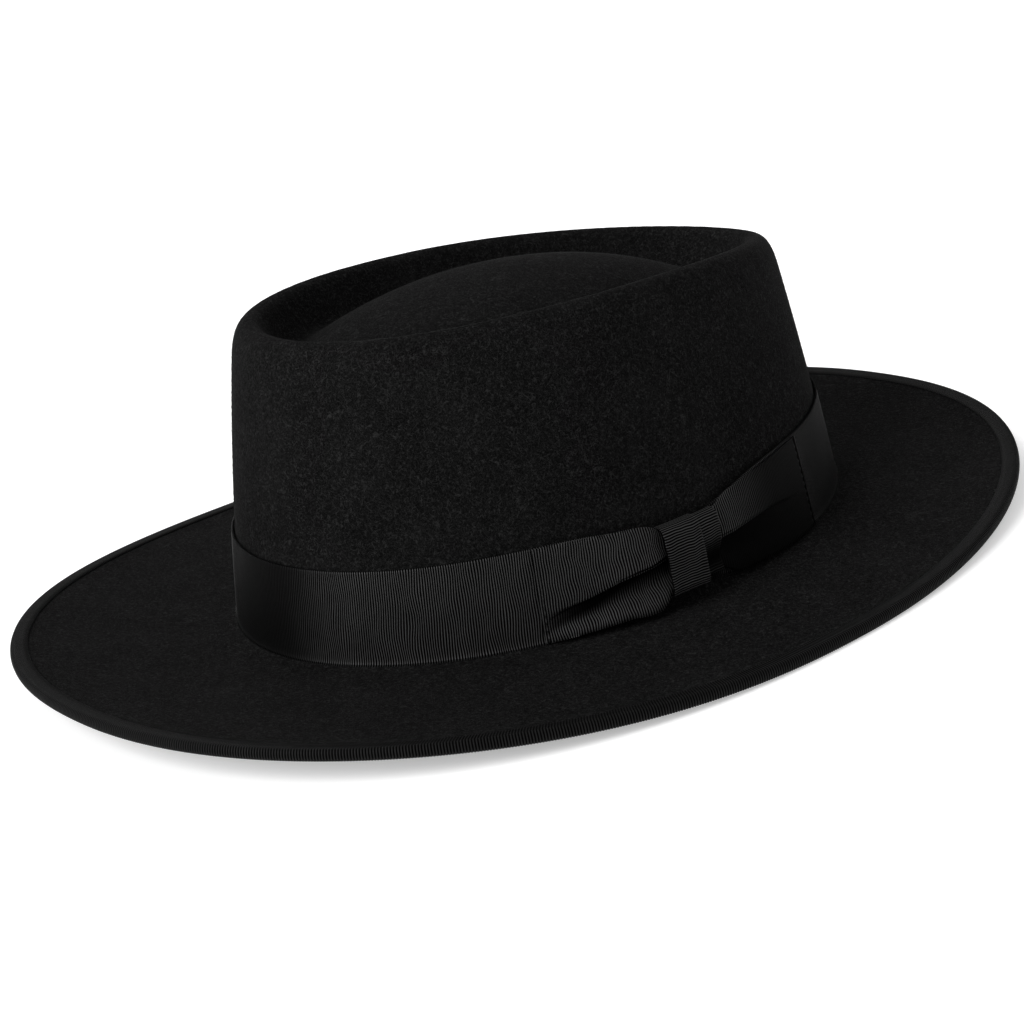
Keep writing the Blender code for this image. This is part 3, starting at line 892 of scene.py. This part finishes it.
def smooth_between(share, along, values):
    """A smooth curve through a fold's values."""
    along, values = np.array(along), np.array(values)
    slopes = np.gradient(values, along)
    spot = np.clip(np.searchsorted(along, share, side="right") - 1, 0, len(along) - 2)
    step = along[spot + 1] - along[spot]
    t = (share - along[spot]) / step
    start, end = values[spot], values[spot + 1]
    return (
        start * (2 * t**3 - 3 * t**2 + 1)
        + slopes[spot] * step * (t**3 - 2 * t**2 + t)
        + end * (3 * t**2 - 2 * t**3)
        + slopes[spot + 1] * step * (t**3 - t**2)
    )


def wing_points(rib, share, sewn_end, knot_end, folds, steps):
    """Rows of points over a wing from its foot up, closer together at its fold, and their ribs' relief, which
    also sets the painted shade of the finish.
    """
    shapes = {key: values for key, values in folds.items() if key != "along"}
    column = {key: smooth_between(share, folds["along"], values) for key, values in shapes.items()}
    place = sewn_end + (knot_end - sewn_end) * share
    rows, relief_and_shade = [], []
    for step in np.linspace(-1, 1, steps):
        above, below = max(step, 0.0) ** 1.5, max(-step, 0.0) ** 1.5
        roll = min(above / FOLD_ROUND, 1.0)
        panel = math.sqrt(1 - (1 - roll) ** 2) * (column["fold"] * (1 - above) + column["edge"] * above)
        lift = min(max((below - LIP_START) / (LIP_END - LIP_START), 0.0), 1.0)
        lip = column["lip"] * lift * lift * (3 - 2 * lift)
        proud = WING_PROUD * (column["valley"] + np.maximum(panel, lip))
        level = column["crease"] + (column["top"] - column["crease"]) * above
        level = level - (column["crease"] - column["foot"]) * below
        tuck = FOLD_POCKET * ((1 - roll) ** 2 if above > 0 else (1 - below) ** 3)
        height = BAND_FOOT + BAND_HEIGHT * level
        height = height + column["fold"] * (tuck - FOLD_OVERHANG * math.sin(math.pi * roll))
        if abs(step) == 1:
            height = height + step * RIB_SCALLOP * crest(rib)
        face = band_face(height) + CLEARANCE * 1.5 + RIBBON + proud
        free = np.minimum(share * abs(knot_end - sewn_end) / SEAM_STILL, 1.0)
        moved = place + free * sway(on_crown(turn_at(place), height, face), 2)
        rows.append(on_crown(turn_at(moved), height, face))
        # In the pocket under the fold the ribs flatten and the finish is painted dark: painted shade, beside
        # the real shadow of the overhang.
        depth = max(1 - below / POCKET_BELOW, 0.0) if step < 0 else max(1 - roll / POCKET_ABOVE, 0.0)
        ribs = column["upper_ribs_and_shade"] if step > 0 else column["lower_ribs_and_shade"]
        relief_and_shade.append(np.clip(ribs * (1 - column["pocket_shade"] * min(2 * depth, 1.0)), 0.0, 1.0))
    return np.array(rows), relief_and_shade


def make_wing(name, node, sewn_end, knot_end, folds, ribs, grosgrain):
    """One half of the bow: a ribbon sewn flat at one end, and folded where it goes into the knot."""
    length = abs(knot_end - sewn_end)
    places, rib = ribbing(length, RIB_PITCH, False)
    rows, relief_and_shade = wing_points(rib, places / length, sewn_end, knot_end, folds, WING_ROWS)
    dimple = np.cos(math.pi * (rows[..., 2] - SEAM_FOOT) / STITCH_PITCH) ** 2
    seam = SEAM_DEPTH * np.exp(-(((places - SEAM_INSET) / SEAM_SPREAD) ** 2)) * dimple
    out = np.concatenate([crown_out(turn_at(sewn_end)), [0.0]])
    rows = rows - seam[..., None] * out
    across = np.linspace(0, BAND_HEIGHT, len(rows))
    columns = [ribbon_places(rib, level, kept) for level, kept in zip(across, relief_and_shade)]
    columns = np.array(columns)
    if knot_end < sewn_end:
        rows, columns = rows[:, ::-1], columns[:, ::-1]
    piece = mesh_of(name, rows, False, columns=columns)
    grow(piece, ribs, Material=grosgrain)
    wall(piece, RIBBON)
    return settle(piece, "grosgrain_band", node)


def make_seam(name, sewn_end, inward, thread):
    """The stitches down a wing's sewn end."""
    turn = turn_at(sewn_end + inward * SEAM_INSET)
    height = SEAM_FOOT - BREAK_HEIGHT + STITCH_PITCH * np.arange(STITCHES)
    proud = band_face(height) + CLEARANCE * 1.5 + RIBBON - SEAM_DEPTH - RIB_HEIGHT * 0.3
    points = on_crown(np.full(len(height), turn), height, proud)
    mesh = bpy.data.meshes.new(name)
    mesh.from_pydata(points.tolist(), [(i, i + 1) for i in range(len(points) - 1)], [])
    seam = bpy.data.objects.new(name, mesh)
    bpy.context.scene.collection.objects.link(seam)
    grow(seam, stitch_tree(), Material=thread)
    return settle(seam, "grosgrain_band")


def make_strap(name, node, place, width, height, proud, slant, dip_and_shade, ribs, grosgrain):
    """A ribbon wrapped over the wings' ends, turned back to the band above and below them."""
    centre = BAND_FOOT + BAND_HEIGHT / 2
    half = height / 2
    corner = STRAP_ROUND * (1 - math.sin(math.radians(45)))
    upper = [(half - STRAP_ROUND, proud), (half - corner, proud - corner)]
    upper += [(half, proud - STRAP_ROUND), (half, 0.0)]
    lower = [(-up, out) for up, out in reversed(upper)]
    corners = np.array(lower + [(0.0, proud + 0.2 * MM)] + upper)
    length = np.concatenate([[0.0], np.cumsum(np.linalg.norm(np.diff(corners, axis=0), axis=-1))])
    along, rib = ribbing(length[-1], RIB_PITCH, False)
    across = np.linspace(-0.5, 0.5, STRAP_COLUMNS)
    rows, columns = [], []
    turn = turn_at(place + width * across)
    for spot, number in zip(along, rib):
        shift = slant * width * across
        shift = shift + sway(on_crown(turn, np.full(len(turn), spot), np.full(len(turn), proud)), 3)
        line = spot + shift * math.sin(math.pi * spot / length[-1])
        up, out = (np.interp(line, length, corners[:, axis]) for axis in (0, 1))
        dent_and_shade = np.exp(-(((up / height - WRAP_DIP_PLACE) / WRAP_DIP_REACH) ** 2))
        hollow = dip_and_shade * dent_and_shade
        level = centre + up
        rows.append(on_crown(turn, level, band_face(level) + CLEARANCE + RIBBON + out - hollow))
        # Where the wrap dips, its ribs flatten and its finish is painted dark: painted shade.
        places = ribbon_places(np.full(len(turn), number), 0.0, 1 - min(dip_and_shade / MM, 1.0) * dent_and_shade)
        places[:, 1] = (across + 0.5) * width
        columns.append(places)
    rows = eased(np.array(rows), 2)
    piece = mesh_of(name, rows, False, columns=np.array(columns))
    grow(piece, ribs, Material=grosgrain)
    wall(piece, RIBBON)
    return settle(piece, "grosgrain_band", node)


def make_bow(ribs, grosgrain, thread):
    front_edge = KNOT_PLACE - KNOT_WIDTH / 2
    back_edge = KNOT_PLACE + KNOT_WIDTH / 2
    wrap_place = back_edge + CLEARANCE + WRAP_WIDTH / 2
    wrap_edge = wrap_place + WRAP_WIDTH / 2
    front_end = front_edge - FRONT_WING_LENGTH
    back_end = wrap_edge + BACK_WING_LENGTH
    knot = ("bow_knot_ribbon", "bow_knot", KNOT_PLACE, KNOT_WIDTH, KNOT_HEIGHT, KNOT_PROUD, 0.0, 0.0)
    wrap = (
        "bow_wrap_ribbon",
        "bow_second_wrap",
        wrap_place,
        WRAP_WIDTH,
        WRAP_HEIGHT,
        WRAP_PROUD,
        WRAP_SLANT,
        WRAP_DIP_AND_SHADE,
    )
    for strap in (knot, wrap):
        make_strap(*strap, ribs, grosgrain)
    front = ("bow_front_wing_ribbon", "bow_front_wing", front_end, front_edge + WING_TUCK, FRONT_WING_FOLDS)
    back = ("bow_back_wing_ribbon", "bow_back_wing", back_end, wrap_edge - WING_TUCK, BACK_WING_FOLDS)
    for wing in (front, back):
        make_wing(*wing, ribs, grosgrain)
    make_seam("bow_front_seam_stitches", front_end, 1, thread)
    make_seam("bow_back_seam_stitches", back_end, -1, thread)


def add_camera():
    azimuth, elevation = VIEW_AZIMUTH, VIEW_ELEVATION
    back = Vector(
        (
            math.sin(azimuth) * math.cos(elevation),
            -math.cos(azimuth) * math.cos(elevation),
            math.sin(elevation),
        )
    )
    level = Vector((math.cos(azimuth), math.sin(azimuth), 0.0))
    upright = back.cross(level)
    right = level * math.cos(VIEW_ROLL) - upright * math.sin(VIEW_ROLL)
    up = level * math.sin(VIEW_ROLL) + upright * math.cos(VIEW_ROLL)
    data = bpy.data.cameras.new("photo_view")
    data.sensor_width = SENSOR
    data.lens = VIEW_LENS
    data.clip_start = 0.01
    camera = bpy.data.objects.new("photo_view", data)
    turned = Matrix((right, up, back)).transposed().to_4x4()
    camera.matrix_world = Matrix.Translation(Vector(VIEW_AIM) + back * VIEW_DISTANCE) @ turned
    bpy.context.scene.collection.objects.link(camera)
    bpy.context.scene.camera = camera


def add_studio():
    """A white floor that glows, in soft light, with one lamp left of the camera and one beyond the hat."""
    bpy.ops.mesh.primitive_plane_add(size=40, location=(0, 0, 0))
    floor = bpy.context.object
    floor.name = "studio_floor"
    material, _, _ = material_tree(
        "white_floor",
        Base_Color=(0.86, 0.86, 0.86, 1.0),
        Roughness=0.9,
        Specular_IOR_Level=0.1,
        Emission_Color=(1.0, 1.0, 1.0, 1.0),
        Emission_Strength=FLOOR_GLOW,
    )
    dress(floor, material)
    world = bpy.data.worlds.new("studio_air")
    world.use_nodes = True
    world.node_tree.nodes["Background"].inputs["Color"].default_value = (1.0, 1.0, 1.0, 1.0)
    world.node_tree.nodes["Background"].inputs["Strength"].default_value = AIR_STRENGTH
    bpy.context.scene.world = world
    for name, strength, spread, azimuth, elevation in LAMPS:
        data = bpy.data.lights.new(name, "SUN")
        data.angle = math.radians(spread)
        data.energy = strength
        lamp = bpy.data.objects.new(name, data)
        azimuth, elevation = math.radians(azimuth), math.radians(elevation)
        level = math.cos(elevation)
        towards = Vector((math.sin(azimuth) * level, -math.cos(azimuth) * level, math.sin(elevation)))
        lamp.rotation_euler = towards.to_track_quat("Z", "Y").to_euler()
        bpy.context.scene.collection.objects.link(lamp)
    bpy.context.scene.view_settings.view_transform = "Standard"


def main():
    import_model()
    felt = black_felt()
    grosgrain = black_grosgrain("black_grosgrain", shine=0.36, light=0.066, contrast=5.0, depth=0.95)
    bound = black_grosgrain("black_grosgrain_binding", shine=0.08, light=0.018, contrast=3.0, depth=0.9)
    ribs = rib_tree()
    add_camera()
    make_felt_body(felt)
    make_nap(loose_fibre())
    make_brim_binding(ribs, bound)
    make_hat_band(ribs, grosgrain)
    make_bow(ribs, grosgrain, black_thread())
    add_studio()


main()
